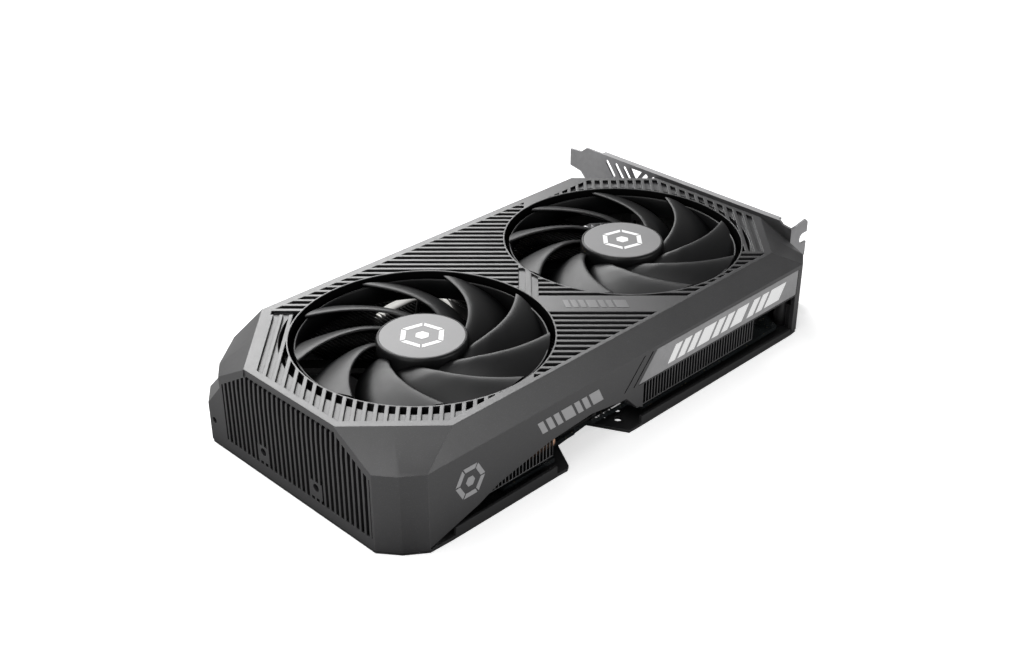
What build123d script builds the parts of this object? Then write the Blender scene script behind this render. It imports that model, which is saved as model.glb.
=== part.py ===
"""Graphics card with two fans: slatted shroud, heatsink, board, backplate and I/O bracket.

Millimetres. The origin lies midway between the two fan axes, on the underside of the backplate.
+X runs from the tail to the I/O bracket, +Y towards the edge contacts, +Z towards the fans.
"""
from build123d import *
import os
import math

os.makedirs("parts", exist_ok=True)

# ---------------------------------------------------------------- driving dimensions
HEIGHT = 39.6                    # backplate underside to fan face
FAN_X = 52.3                     # fan axis, either side of the origin
FAN_AXES = [(-FAN_X, 0), (FAN_X, 0)]
FAN_SCREW = 37.2                 # fan screws, from the fan axis in x and in y
PCB_BOT, PCB_TOP = 2.9, 4.5
GPU_X, GPU_Y = 12.0, 4.0
ROOT2 = math.sqrt(2)

# screw places (x, y)
SCREWS = [(-58.0, -41.5), (-58.0, 58.0), (38.0, 58.0), (88.5, 57.5), (86.0, -40.0), (38.0, -41.5)]
SHROUD_SCREWS = [(-102.5, -38.0), (-102.5, 36.0), (99.0, -45.5)]
GPU_SCREWS = [(GPU_X + sx * 26.0, GPU_Y + sy * 27.5) for sx in (-1, 1) for sy in (-1, 1)]
BRACKET_SCREWS = [(103.8, 58.0), (103.8, -33.0)]


# ---------------------------------------------------------------- helpers
def export(builder, name):
    builder.part.label = name
    export_step(builder.part, f"parts/{name}.step")


def inset(points, distance):
    """Offset a counter-clockwise outline inwards."""
    moved = []
    for i, (bx, by) in enumerate(points):
        ax, ay = points[i - 1]
        cx, cy = points[(i + 1) % len(points)]
        before = math.hypot(bx - ax, by - ay)
        after = math.hypot(cx - bx, cy - by)
        normal1 = (-(by - ay) / before, (bx - ax) / before)
        normal2 = (-(cy - by) / after, (cx - bx) / after)
        scale = distance / (1 + normal1[0] * normal2[0] + normal1[1] * normal2[1])
        moved.append((bx + (normal1[0] + normal2[0]) * scale, by + (normal1[1] + normal2[1]) * scale))
    return moved


def outline(points):
    """Closed straight-sided profile in the current sketch."""
    make_face([Edge.make_line(a, b) for a, b in zip(points, points[1:] + points[:1])])


def frustum(levels):
    """Closed solid through matching outlines at rising heights: [(z, points), ...].
    Side panels that are not flat are ruled between their lower and upper edges."""
    rings = [[Vector(x, y, z) for x, y in points] for z, points in levels]
    faces = [Face(Wire.make_polygon(ring, close=True)) for ring in (rings[0], rings[-1])]
    for low, high in zip(rings, rings[1:]):
        for i in range(len(low)):
            j = (i + 1) % len(low)
            a, b, c, d = low[i], low[j], high[j], high[i]
            normal = (b - a).cross(d - a).normalized()
            if abs(normal.dot(c - a)) < 1e-6:
                faces.append(Face(Wire.make_polygon([a, b, c, d], close=True)))
            else:
                bottom, top = Edge.make_line(a, b), Edge.make_line(d, c)
                faces.append(Face.make_surface_from_curves(bottom, top))
    return Solid(Shell(faces))


def box(x0, y0, z0, x1, y1, z1, mode=Mode.ADD):
    """Axis-aligned block between two corners."""
    with Locations(((x0 + x1) / 2, (y0 + y1) / 2, (z0 + z1) / 2)):
        Box(x1 - x0, y1 - y0, z1 - z0, mode=mode)


def rod(x, y, z0, z1, radius, mode=Mode.ADD):
    """Upright cylinder."""
    with Locations((x, y, (z0 + z1) / 2)):
        Cylinder(radius, z1 - z0, mode=mode)


def tube(x, y, z0, z1, radius, bore):
    """Upright cylinder with a through bore."""
    rod(x, y, z0, z1, radius)
    rod(x, y, z0 - 0.1, z1 + 0.1, bore, Mode.SUBTRACT)


def turned(x, y, angle):
    """Place in a sketch, turned by an angle in degrees."""
    return Location((x, y, 0), (0, 0, angle))


def upright_plane(x, y=0):
    """XZ plane through (x, y), for profiles revolved about the upright axis there."""
    return Plane((x, y, 0), x_dir=(1, 0, 0), z_dir=(0, -1, 0))


def upright_axis(x, y=0):
    return Axis((x, y, 0), (0, 0, 1))


def fan_corners(fan_x):
    """The four screw places round a fan axis."""
    return [(fan_x + sx * FAN_SCREW, sy * FAN_SCREW) for sx in (-1, 1) for sy in (-1, 1)]


# ---------------------------------------------------------------- shroud dimensions
CREASE_Z = 30.5                  # crease between vertical walls and sloped shoulders
INNER_CREASE_Z = CREASE_Z - 0.6
WALL = 1.8
FACE = 2.6                       # face thickness
SKIRT_Z = 1.25                   # lower edge, just above the backplate
OPENING_R = 46.0
RIM_R = 46.5                     # plain rim kept around each opening
PITCH, GAP = 3.48, 2.15          # slats on the face: pitch and open width
MID_START, TAIL_START = 2.11, 2.05   # first slot centre on the middle and the end fields
GRILLE_PITCH, GRILLE_GAP = 2.518, 1.58
BORDER = 3.0                     # plain border of the face
THIN_BORDER = 1.5                # the same on the -Y side and at the bracket end

# Plan outlines (x, y), counter-clockwise from the tail; points of the two match one to one
TOP = [
    (-110.2, -23.5), (-96.95, -36.3), (-83.7, -49.05), (82.6, -49.05), (93.8, -38.0),
    (105.0, -27.0), (105.0, 26.8), (92.4, 39.7), (79.8, 52.6), (-81.3, 52.6),
    (-95.75, 38.15), (-110.2, 23.7),
]
CREASE = [
    (-110.7, -41.2), (-105.4, -48.2), (-98.2, -53.4), (98.5, -53.4), (105.3, -48.8),
    (108.8, -42.0), (108.8, 42.0), (104.6, 50.0), (96.0, 57.0), (-91.2, 57.0),
    (-105.4, 45.7), (-110.7, 38.9),
]
# Low shoulder at the tail corner on the contact side (x, y), clockwise, lower and upper level
SHOULDER_LOW = [
    (-110.7, 36.0), (-110.7, 47.2), (-104.2, 55.4), (-91.5, 56.9),
    (-90.0, 55.0), (-100.0, 44.0), (-108.0, 36.0),
]
SHOULDER_HIGH = [
    (-110.7, 36.0), (-110.6, 39.0), (-105.3, 45.72), (-91.3, 56.85),
    (-90.0, 55.0), (-100.0, 44.0), (-108.0, 36.0),
]
# Areas of the face that carry slots (x, y)
MID_FIELD = [
    (-81.3, 53.2), (-26.4, -1.7), (-11.05, -5.95), (8.77, 13.87),
    (43.0, 20.0), (43.0, 44.7), (51.5, 53.2),
]
TAIL_FIELD = [
    (-120, 60), (-90.3, 60), (-30.3, 0.0), (-44.0, 0.0),
    (-44.0, -42.5), (-61.5, -60), (-120, -60),
]
BRACKET_FIELD = [(95.2, -60), (120, -60), (120, 60), (-24.8, 60)]
# Section swept round the tail fan axis (radius, z): shallow at the border, deeper beside the rim
POCKET_SECTION = [
    (OPENING_R, HEIGHT + 1.5), (90, HEIGHT + 1.5), (90, HEIGHT - 0.95),
    (49.3, HEIGHT - 1.05), (48.5, HEIGHT - 3.3), (OPENING_R, HEIGHT - 3.3),
]
# Set-back band above the tail grille (x, z), and the grille's area (y, z)
GRILLE_BAND = [
    (-113, HEIGHT + 1), (-109.9, HEIGHT + 1), (-109.9, HEIGHT - 2.5),
    (-110.85, HEIGHT - 3.45), (-113, HEIGHT - 3.45),
]
GRILLE = [
    (-40.3, 5.3), (37.5, 5.3), (37.5, 28.0), (23.2, HEIGHT - 2.5),
    (-23.4, HEIGHT - 2.5), (-40.3, 28.0),
]
TAIL_HOLES_Y = (16.1, -12.3)     # round holes through plain patches of the grille
TAIL_CUT_X = -114                # start of the cuts made through the tail wall
# Cut-away lower edge of the -Y side (x, z)
LONG_SIDE_CUT = [
    (-98.0, -1), (-98.0, 2.0), (-76.8, 7.9), (-67.9, 11.6), (-44.3, 16.3),
    (-23.3, 17.7), (-8.4, 15.6), (-5.2, 15.4), (0.1, 10.1), (4.0, 7.9),
    (4.0, 17.8), (95.6, 17.5), (95.6, -1),
]
# Badge recess, the badge in it, and the two slanted grooves beside it (x, z)
BADGE_RECESS = [(1.1, 18.1), (95.9, 17.85), (96.2, 28.9), (10.7, 29.1)]
BADGE = [(1.4, 18.2), (95.75, 17.95), (96.05, 28.8), (10.9, 29.0)]
GROOVES = [
    [(-1.8, 18.3), (-1.0, 18.3), (8.7, 29.1), (7.9, 29.1)],
    [(-6.7, 18.2), (-5.9, 18.2), (4.5, 29.2), (3.7, 29.2)],
]
FIN_WINDOW = [(-66, -1), (-60, 17.5), (70, 17.5), (76, 12.0), (76, -1)]   # contact side (x, z)
# Webs from the screw bosses to the walls (x0, y0, x1, y1), in the order of SHROUD_SCREWS
BOSS_WEBS = [(-109.5, -39.0, -102.5, -37.0), (-109.5, 35.0, -102.5, 37.0),
             (98.0, -52.2, 100.0, -45.5)]


def outer_at(z):
    """Outer outline of the sloped shoulders at a height."""
    f = (z - CREASE_Z) / (HEIGHT - CREASE_Z)
    return [(c[0] + (t[0] - c[0]) * f, c[1] + (t[1] - c[1]) * f) for t, c in zip(TOP, CREASE)]


# ---------------------------------------------------------------- shroud: face slots
# middle slots are lines of constant x + y
with BuildSketch(Plane.XY) as mid_slots:
    with Locations(*[turned(s / ROOT2, s / ROOT2, -45) for s in
                     [MID_START + PITCH * k for k in range(-6, 21)]]):
        Rectangle(190, GAP)
    with BuildSketch(mode=Mode.INTERSECT):
        outline(MID_FIELD)
    with BuildSketch(mode=Mode.INTERSECT):
        outline(inset(TOP, BORDER))
    with Locations(*FAN_AXES):
        Circle(RIM_R, mode=Mode.SUBTRACT)

# the opposite half is the same pattern turned half a turn, with one band left plain
with BuildSketch(Plane.XY) as opposite_slots:
    add(mid_slots.sketch.rotate(Axis.Z, 180))
    # one more slot at the bracket end
    with Locations(turned(87.25 / ROOT2, -42.75 / ROOT2, -45)):
        Rectangle(60, GAP)
    with BuildSketch(mode=Mode.INTERSECT):
        outline(inset(TOP, THIN_BORDER))
    with Locations((FAN_X, 0)):
        Circle(RIM_R, mode=Mode.SUBTRACT)
    with Locations(turned(-16.3 / ROOT2, -16.3 / ROOT2, -45)):
        Rectangle(190, 9.85, mode=Mode.SUBTRACT)

# tail slots are lines of constant x - y
with BuildSketch(Plane.XY) as tail_slots:
    with Locations(*[turned(t / ROOT2, -t / ROOT2, 45) for t in
                     [-TAIL_START - PITCH * k for k in range(26)]]):
        Rectangle(190, GAP)
    # cross channel where the end slats stop short of the first middle slat
    with Locations(turned(-22.75 / ROOT2 - 43.0, -22.75 / ROOT2 + 43.0, -45)):
        Rectangle(60.6, 2.7)
    with BuildSketch(mode=Mode.INTERSECT):
        outline(TAIL_FIELD)
    with BuildSketch(mode=Mode.INTERSECT):
        outline(inset(TOP, BORDER))
    with Locations((-FAN_X, 0)):
        Circle(RIM_R, mode=Mode.SUBTRACT)

with BuildPart() as tail_cut:
    with BuildSketch(Plane.XY.offset(HEIGHT - 3.2)):
        add(tail_slots.sketch)
    extrude(amount=4.5)
    with BuildPart(mode=Mode.INTERSECT):
        with BuildSketch(upright_plane(-FAN_X)):
            outline(POCKET_SECTION)
        revolve(axis=upright_axis(-FAN_X))

# the bracket end carries the tail pockets turned half a turn
with BuildPart() as bracket_cut:
    add(tail_cut.part.rotate(Axis.Z, 180))
    with BuildPart(mode=Mode.INTERSECT):
        with BuildSketch(Plane.XY.offset(HEIGHT - 6.0)):
            outline(inset(TOP, THIN_BORDER + 0.3))
            with BuildSketch(mode=Mode.INTERSECT):
                outline(BRACKET_FIELD)
        extrude(amount=9.0)

with BuildPart() as mid_cut:
    for slots in (mid_slots, opposite_slots):
        with BuildSketch(Plane.XY.offset(HEIGHT - FACE - 0.6)):
            add(slots.sketch)
        extrude(amount=FACE + 1.6)

# ---------------------------------------------------------------- shroud
outer = frustum([(SKIRT_Z, CREASE), (CREASE_Z, CREASE), (HEIGHT, TOP)])
hollow = frustum([
    (SKIRT_Z - 1, inset(CREASE, WALL)),
    (INNER_CREASE_Z, inset(CREASE, WALL)),
    (HEIGHT - FACE, inset(outer_at(HEIGHT - FACE), WALL + 0.3)),
])
shoulder = frustum([(SKIRT_Z, SHOULDER_LOW), (16.4, SHOULDER_LOW), (25.9, SHOULDER_HIGH)])

with BuildPart() as shroud:
    add(outer)
    add(hollow, mode=Mode.SUBTRACT)
    add(shoulder)
    # rim walls around the fan openings
    with BuildSketch(Plane.XY.offset(HEIGHT - 7.0)):
        with Locations(*FAN_AXES):
            Circle(OPENING_R + 1.6)
    extrude(amount=7.0)
    with BuildSketch(Plane.XY.offset(HEIGHT - 8.0)):
        with Locations(*FAN_AXES):
            Circle(OPENING_R)
    extrude(amount=9.0, mode=Mode.SUBTRACT)
    # bosses for the fan frames
    for fan_x in (-FAN_X, FAN_X):
        for x, y in fan_corners(fan_x):
            rod(x, y, 27.1, HEIGHT - 2.0, 2.7)
            rod(x, y, 27.0, HEIGHT - 3.2, 1.15, Mode.SUBTRACT)
    # face slots
    for cut in (mid_cut, tail_cut, bracket_cut):
        add(cut.part, mode=Mode.SUBTRACT)
    # lowered bands either side of the raised spine
    with BuildSketch(Plane.XY.offset(HEIGHT - 0.7)):
        with Locations(turned(0, 0, 45)):
            Rectangle(22.6, 7.2)
            Rectangle(40.0, 2.1, mode=Mode.SUBTRACT)
        with Locations(*FAN_AXES):
            Circle(RIM_R, mode=Mode.SUBTRACT)
    extrude(amount=2.0, mode=Mode.SUBTRACT)
    # tail grille: the set-back band, then the slots with two plain patches left in them
    with BuildSketch(Plane.XZ.offset(-23.9)):
        outline(GRILLE_BAND)
    extrude(amount=47.6, mode=Mode.SUBTRACT)
    with BuildSketch(Plane.YZ.offset(TAIL_CUT_X)):
        outline(GRILLE)
        with Locations(*[(20.99 - GRILLE_PITCH * k, 20.0) for k in range(-6, 25)]):
            Rectangle(GRILLE_PITCH - GRILLE_GAP, 60, mode=Mode.SUBTRACT)
        with Locations(*[(y, 9.8) for y in TAIL_HOLES_Y]):
            Rectangle(6.2, 6.4, mode=Mode.SUBTRACT)
    extrude(amount=6.0, mode=Mode.SUBTRACT)
    with BuildSketch(Plane.YZ.offset(TAIL_CUT_X)):
        with Locations(*[(y, 10.6) for y in TAIL_HOLES_Y]):
            Circle(1.5)
    extrude(amount=6.0, mode=Mode.SUBTRACT)
    # small hole in the low shoulder
    with BuildSketch(Plane.YZ.offset(TAIL_CUT_X)):
        with Locations((44.5, 10.2)):
            Circle(1.2)
    extrude(amount=5.5, mode=Mode.SUBTRACT)
    # -Y side: lower edge, badge recess and grooves
    with BuildSketch(Plane.XZ.offset(56)):
        outline(LONG_SIDE_CUT)
    extrude(amount=-9.0, mode=Mode.SUBTRACT)
    with BuildSketch(Plane.XZ.offset(52.6)):
        outline(BADGE_RECESS)
    extrude(amount=3.0, mode=Mode.SUBTRACT)
    with BuildSketch(Plane.XZ.offset(52.8)):
        for groove in GROOVES:
            outline(groove)
    extrude(amount=3.0, mode=Mode.SUBTRACT)
    # contact side: board passes under the wall, fins show through a long window
    box(-70, 38, -1, 113, 60, 12.0, Mode.SUBTRACT)
    with BuildSketch(Plane.XZ.offset(-60)):
        outline(FIN_WINDOW)
    extrude(amount=10.0, mode=Mode.SUBTRACT)
    # exhaust opening at the bracket end
    box(103.0, -37.0, -1, 112, 40.0, 15.0, Mode.SUBTRACT)
    # screw bosses with webs to the walls
    for (x, y), (web_x0, web_y0, web_x1, web_y1) in zip(SHROUD_SCREWS, BOSS_WEBS):
        rod(x, y, SKIRT_Z, 13.0, 3.0)
        box(web_x0, web_y0, SKIRT_Z, web_x1, web_y1, 11.0)
        rod(x, y, SKIRT_Z - 0.1, 11.0, 1.2, Mode.SUBTRACT)
export(shroud, "shroud")

with BuildPart() as side_badge:
    with BuildSketch(Plane.XZ.offset(52.65)):
        outline(BADGE)
    extrude(amount=0.65)
export(side_badge, "side_badge")

# ---------------------------------------------------------------- backplate
PLATE = 1.2                      # sheet thickness
PLATE_OUTLINE = [                # (x, y)
    (-110.5, -41.1), (-105.2, -48.0), (-98.1, -53.2), (-88.0, -53.6), (-40.3, -53.6),
    (-38.8, -53.6), (-35.4, -53.8), (-33.8, -52.8), (-27.1, -41.05), (-10.2, -39.3),
    (-2.9, -53.5), (3.6, -53.6), (95.0, -53.6), (98.4, -53.2), (105.2, -48.6),
    (108.3, -42.0), (108.3, 62.6), (-66.0, 62.6), (-72.0, 57.0), (-91.0, 56.9),
    (-103.9, 55.2), (-110.5, 46.9),
]
PRESSED_LINES = [(62.0, 8.0), (66.0, 4.0), (70.0, 0.0), (-40.0, 24.0)]   # centres (x, y)

with BuildPart() as backplate:
    with BuildSketch(Plane.XY):
        outline(PLATE_OUTLINE)
        # clearance holes under the retention screws, and three small holes beside the
        # power connector
        with Locations(*GPU_SCREWS):
            Circle(3.3, mode=Mode.SUBTRACT)
        with Locations((-2.6, -41.0)):
            Circle(1.1, mode=Mode.SUBTRACT)
        with Locations((4.0, -41.4), (-0.2, -45.7)):
            Circle(1.5, mode=Mode.SUBTRACT)
    extrude(amount=PLATE)
    # slanted vents beyond the end of the board
    with BuildSketch(Plane.XY):
        with Locations(*[turned(-88.0, -36.0 + 6.4 * k, 45) for k in range(12)]):
            SlotOverall(26.0, 2.6)
    extrude(amount=PLATE + 0.1, mode=Mode.SUBTRACT)
    # shallow pressed lines on the underside
    with BuildSketch(Plane.XY):
        with Locations(*[turned(x, y, 45) for x, y in PRESSED_LINES]):
            SlotOverall(66.0, 1.4)
    extrude(amount=0.35, mode=Mode.SUBTRACT)
    # upturned lips on the -Y side
    box(-87.3, -53.6, PLATE - 0.2, -40.3, -52.5, 4.3)
    with BuildSketch(Plane.XZ.offset(52.5)):
        outline([(3.6, PLATE - 0.2), (94.6, PLATE - 0.2), (94.6, 2.7), (3.6, 4.1)])
    extrude(amount=1.1)
    # spacers under the board, then countersunk holes from below
    for x, y in SCREWS:
        rod(x, y, PLATE - 0.1, PCB_BOT - 0.03, 2.9)
    for x, y in SCREWS + SHROUD_SCREWS:
        with Locations(Location((x, y, 0), (180, 0, 0))):
            CounterSinkHole(1.35, 2.65, 4.0, 90)
export(backplate, "backplate")

# ---------------------------------------------------------------- printed circuit board
PCB_OUTLINE = [                  # (x, y)
    (-62.0, -49.6), (-46.0, -49.6), (-37.5, -49.6), (-31.5, -43.4), (-20.5, -43.2),
    (-20.1, -42.2), (-12.6, -42.2), (-11.5, -43.2), (7.0, -43.9), (8.8, -49.6),
    (90.5, -49.6), (94.8, -41.8), (104.6, -39.4), (107.4, -36.5), (107.4, 62.6),
    (66.3, 62.6), (66.3, 70.6), (65.6, 71.3), (54.9, 71.3), (54.1, 70.5),
    (54.1, 62.9), (52.2, 62.9), (52.2, 70.5), (51.4, 71.3), (-18.8, 71.3),
    (-19.6, 70.5), (-19.6, 64.6), (-22.0, 64.6), (-22.0, 70.2), (-24.0, 71.0),
    (-27.0, 69.0), (-27.0, 62.6), (-62.0, 62.6),
]
CONTACT_ROWS = [(60.2, 11), (16.3, 70)]   # row centre in x, number of contacts
CONTACT_T = 0.05

with BuildPart() as pcb:
    with BuildSketch(Plane.XY.offset(PCB_BOT)):
        outline(PCB_OUTLINE)
        with Locations(*SCREWS):
            Circle(1.5, mode=Mode.SUBTRACT)
        with Locations(*GPU_SCREWS):
            Circle(1.6, mode=Mode.SUBTRACT)
        with Locations(*BRACKET_SCREWS):
            Circle(1.6, mode=Mode.SUBTRACT)
    extrude(amount=PCB_TOP - PCB_BOT)
export(pcb, "pcb")

with BuildPart() as edge_contacts:
    for z in (PCB_TOP + CONTACT_T / 2, PCB_BOT - CONTACT_T / 2):
        for x, count in CONTACT_ROWS:
            with Locations((x, 68.2, z)):
                with GridLocations(1.0, 1.0, count, 1):
                    Box(0.7, 4.4, CONTACT_T)
export(edge_contacts, "edge_contacts")

# ---------------------------------------------------------------- board components
PACKAGE_TOP = PCB_TOP + 1.2
DIE_TOP = PCB_TOP + 2.0
CHIP_H = 1.1                     # memory chip height
MEMORY = [(GPU_X + sx * 30.5, GPU_Y + dy) for sx in (-1, 1) for dy in (-15.0, 0.0, 15.0)]
MEMORY += [(GPU_X - 9.0, GPU_Y - 30.0), (GPU_X + 9.0, GPU_Y - 30.0)]
POWER_ROW_Y = range(-30, 43, 12)   # inductors and power stages side by side

with BuildPart() as gpu_package:
    box(GPU_X - 19, GPU_Y - 19, PCB_TOP, GPU_X + 19, GPU_Y + 19, PACKAGE_TOP)
export(gpu_package, "gpu_package")

with BuildPart() as gpu_die:
    box(GPU_X - 9, GPU_Y - 7.5, PACKAGE_TOP, GPU_X + 9, GPU_Y + 7.5, DIE_TOP)
export(gpu_die, "gpu_die")

with BuildPart() as memory_chips:
    with Locations(*[(x, y, PCB_TOP + CHIP_H / 2) for x, y in MEMORY]):
        Box(12.0, 12.0, CHIP_H)
export(memory_chips, "memory_chips")

with BuildPart() as thermal_pads:
    with Locations(*[(x, y, PCB_TOP + CHIP_H + 0.46) for x, y in MEMORY]):
        Box(11.0, 11.0, 0.9)
export(thermal_pads, "thermal_pads")

with BuildPart() as inductors:
    with Locations(*[(-42.0, y, PCB_TOP + 2.0) for y in POWER_ROW_Y]):
        Box(7.0, 7.0, 4.0)
    with Locations(*[(66.0, y, PCB_TOP + 1.8) for y in (-20, -8)]):
        Box(7.0, 7.0, 3.4)
    chamfer(inductors.edges().filter_by(Axis.Z), 0.8)
export(inductors, "inductors")

with BuildPart() as power_stages:
    with Locations(*[(-33.0, y, PCB_TOP + 0.5) for y in POWER_ROW_Y]):
        Box(5.0, 6.0, 1.0)
export(power_stages, "power_stages")

with BuildPart() as capacitors:
    with Locations(*[(-52.0, y, PCB_TOP + 2.1) for y in range(-34, 37, 10)]):
        Cylinder(3.0, 4.2)
    with Locations((-34.0, -38.2, PCB_TOP + 2.0), (86.0, 20.0, PCB_TOP + 2.1),
                   (86.0, 34.0, PCB_TOP + 2.1)):
        Cylinder(2.6, 4.0)
export(capacitors, "capacitors")

with BuildPart() as standoffs:
    for x, y in SCREWS:
        tube(x, y, PCB_TOP, PCB_TOP + 3.4, 2.6, 1.28)
export(standoffs, "standoffs")

# ---------------------------------------------------------------- power connector
POWER_X0, POWER_X1 = -27.0, -8.0
POWER_Y0, POWER_Y1 = -42.0, -29.2   # open face, rear face
POWER_TOP = 14.4
POWER_X = (POWER_X0 + POWER_X1) / 2
POWER_Z = (PCB_TOP + POWER_TOP) / 2
PIN_PITCH_X, PIN_PITCH_Z = 4.3, 4.4
PIN_HALF = 0.55

with BuildPart() as power_connector:
    box(POWER_X0, POWER_Y0, PCB_TOP + 0.02, POWER_X1, POWER_Y1, POWER_TOP)
    chamfer(power_connector.edges().filter_by(Axis.Y), 0.5)
    with BuildSketch(Plane.XZ.offset(-POWER_Y0)):
        with Locations((POWER_X, POWER_Z)):
            with GridLocations(PIN_PITCH_X, PIN_PITCH_Z, 4, 2):
                Rectangle(3.6, 3.6)
    extrude(amount=-11.0, mode=Mode.SUBTRACT)
    # latch ramp on top
    box(POWER_X - 3, POWER_Y0 + 1.5, POWER_TOP - 0.2, POWER_X + 3, POWER_Y0 + 4.0, POWER_TOP + 0.9)
export(power_connector, "power_connector")

with BuildPart() as power_pins:
    for column in (-1.5, -0.5, 0.5, 1.5):
        for row in (-0.5, 0.5):
            x = POWER_X + column * PIN_PITCH_X
            z = POWER_Z + row * PIN_PITCH_Z
            box(x - PIN_HALF, POWER_Y0 + 3.0, z - PIN_HALF,
                x + PIN_HALF, POWER_Y0 + 10.98, z + PIN_HALF)
export(power_pins, "power_pins")

# ---------------------------------------------------------------- heatsink
PIPE_R, PIPE_Z = 3.0, 13.25
LONG_PIPES = [(y, PIPE_Z, PIPE_R) for y in (-24.4, -8.5, 9.0, 27.0)]   # axis y, axis z, radius
SIDE_PIPE = (-48.0, 11.6, 2.5)   # the same for the short pipe along the -Y side
SIDE_PIPE_START, SIDE_PIPE_END = -71.0, -36.6   # its two ends in x
PIPE_CLEARANCE = 0.04
FIN_TOP = 24.5
FIN_PITCH, FIN_T = 1.62, 0.35
COLD_LOW = (GPU_X - 38.0, GPU_Y - 32.6, DIE_TOP + 0.03)   # cold plate corners
COLD_HIGH = (GPU_X + 38.0, GPU_Y + 36.0, PIPE_Z - PIPE_R - 0.02)

with BuildPart() as cold_plate:
    box(*COLD_LOW, *COLD_HIGH)
    for x, y in GPU_SCREWS:
        rod(x, y, COLD_LOW[2] - 0.1, COLD_HIGH[2] - 0.6, 1.45, Mode.SUBTRACT)
export(cold_plate, "cold_plate")

with BuildPart() as heat_pipes:
    for y, z, radius in LONG_PIPES:
        with BuildSketch(Plane.YZ.offset(-75.0)):
            with Locations((y, z)):
                Circle(radius)
        extrude(amount=150.0)
    pipe_edges = heat_pipes.edges().group_by(Axis.X)
    chamfer(pipe_edges[0] + pipe_edges[-1], 1.2)
    # short pipe, its rounded end standing clear of the fins
    side_y, side_z, side_r = SIDE_PIPE
    with BuildSketch(Plane.YZ.offset(SIDE_PIPE_START)):
        with Locations((side_y, side_z)):
            Circle(side_r)
    extrude(amount=SIDE_PIPE_END - side_r - SIDE_PIPE_START)
    with Locations((SIDE_PIPE_END - side_r, side_y, side_z)):
        Sphere(side_r)
export(heat_pipes, "heat_pipes")


def fin_profile(x0, x1, z0):
    """Side view of a run of upright fins joined by a strip along their feet."""
    last = int((x1 - x0 - FIN_T) / FIN_PITCH)
    with Locations(*[(x0 + FIN_T / 2 + FIN_PITCH * k, (z0 + FIN_TOP) / 2)
                     for k in range(last + 1)]):
        Rectangle(FIN_T, FIN_TOP - z0)
    x_end = x0 + FIN_PITCH * last + FIN_T
    with Locations(((x0 + x_end) / 2, z0 + FIN_T / 2)):
        Rectangle(x_end - x0, FIN_T)


def fin_block(name, x0, x1, foot_z, low_foot_z, notch_x0, notch_x1, pipes):
    """Fins from x0 to x1, notched for the power connector and cleared for plate and pipes."""
    with BuildPart() as fins:
        with BuildSketch(Plane.XZ.offset(-51.5)):
            fin_profile(x0, x1, foot_z)
        extrude(amount=97.6)
        # the strip of each fin on the -Y side reaches further down
        with BuildSketch(Plane.XZ.offset(45.9)):
            fin_profile(x0, x1, low_foot_z)
        extrude(amount=5.4)
        box(notch_x0, -52, 0, notch_x1, -28.4, 30, Mode.SUBTRACT)
        box(COLD_LOW[0] - 0.5, COLD_LOW[1] - 0.5, 0,
            COLD_HIGH[0] + 0.5, COLD_HIGH[1] + 0.5, COLD_HIGH[2] + 0.1, Mode.SUBTRACT)
        with BuildSketch(Plane.YZ.offset(-80)):
            for y, z, radius in pipes:
                with Locations((y, z)):
                    Circle(radius + PIPE_CLEARANCE)
        extrude(amount=160, mode=Mode.SUBTRACT)
    export(fins, name)


fin_block("fins_tail", x0=-72.7, x1=-17.0, foot_z=9.3, low_foot_z=7.6,
          notch_x0=-40.2, notch_x1=-10, pipes=LONG_PIPES + [SIDE_PIPE])
fin_block("fins_front", x0=-11.5, x1=73.0, foot_z=8.4, low_foot_z=6.8,
          notch_x0=-12.0, notch_x1=3.2, pipes=LONG_PIPES)

# ---------------------------------------------------------------- retention plate and screws
with BuildPart() as retention_plate:
    with BuildSketch(Plane.XY.offset(1.75)):
        with Locations((GPU_X, GPU_Y)):
            with Locations(*[turned(0, 0, angle) for angle in (46.6, -46.6)]):
                SlotOverall(84.0, 9.0)
            Rectangle(30.0, 30.0)
            Rectangle(18.0, 18.0, mode=Mode.SUBTRACT)
        with Locations(*GPU_SCREWS):
            Circle(1.6, mode=Mode.SUBTRACT)
    extrude(amount=1.1)
export(retention_plate, "retention_plate")

with BuildPart() as gpu_screws:
    for x, y in GPU_SCREWS:
        rod(x, y, 0.3, 1.74, 2.5)
        rod(x, y, 1.7, COLD_HIGH[2] - 0.7, 1.4)
        rod(x, y, 0.2, 1.0, 1.1, Mode.SUBTRACT)
export(gpu_screws, "gpu_screws")


def countersunk_screws(name, places, head_r, shank_r, end_z):
    """Screws pointing up, with 90 degree heads and hexagon sockets near the underside."""
    head_z = 0.06
    with BuildPart() as screws:
        for x, y in places:
            with BuildSketch(upright_plane(x, y)):
                outline([(0, head_z), (head_r, head_z), (shank_r, head_z + head_r - shank_r),
                         (shank_r, end_z), (0, end_z)])
            revolve(axis=upright_axis(x, y))
            with BuildSketch(Plane.XY):
                with Locations((x, y)):
                    RegularPolygon(1.1, 6)
            extrude(amount=0.7, mode=Mode.SUBTRACT)
    export(screws, name)


countersunk_screws("backplate_screws", SCREWS, head_r=2.45, shank_r=1.2, end_z=PCB_TOP + 3.0)
countersunk_screws("shroud_screws", SHROUD_SCREWS, head_r=2.3, shank_r=1.15, end_z=9.5)

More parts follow.
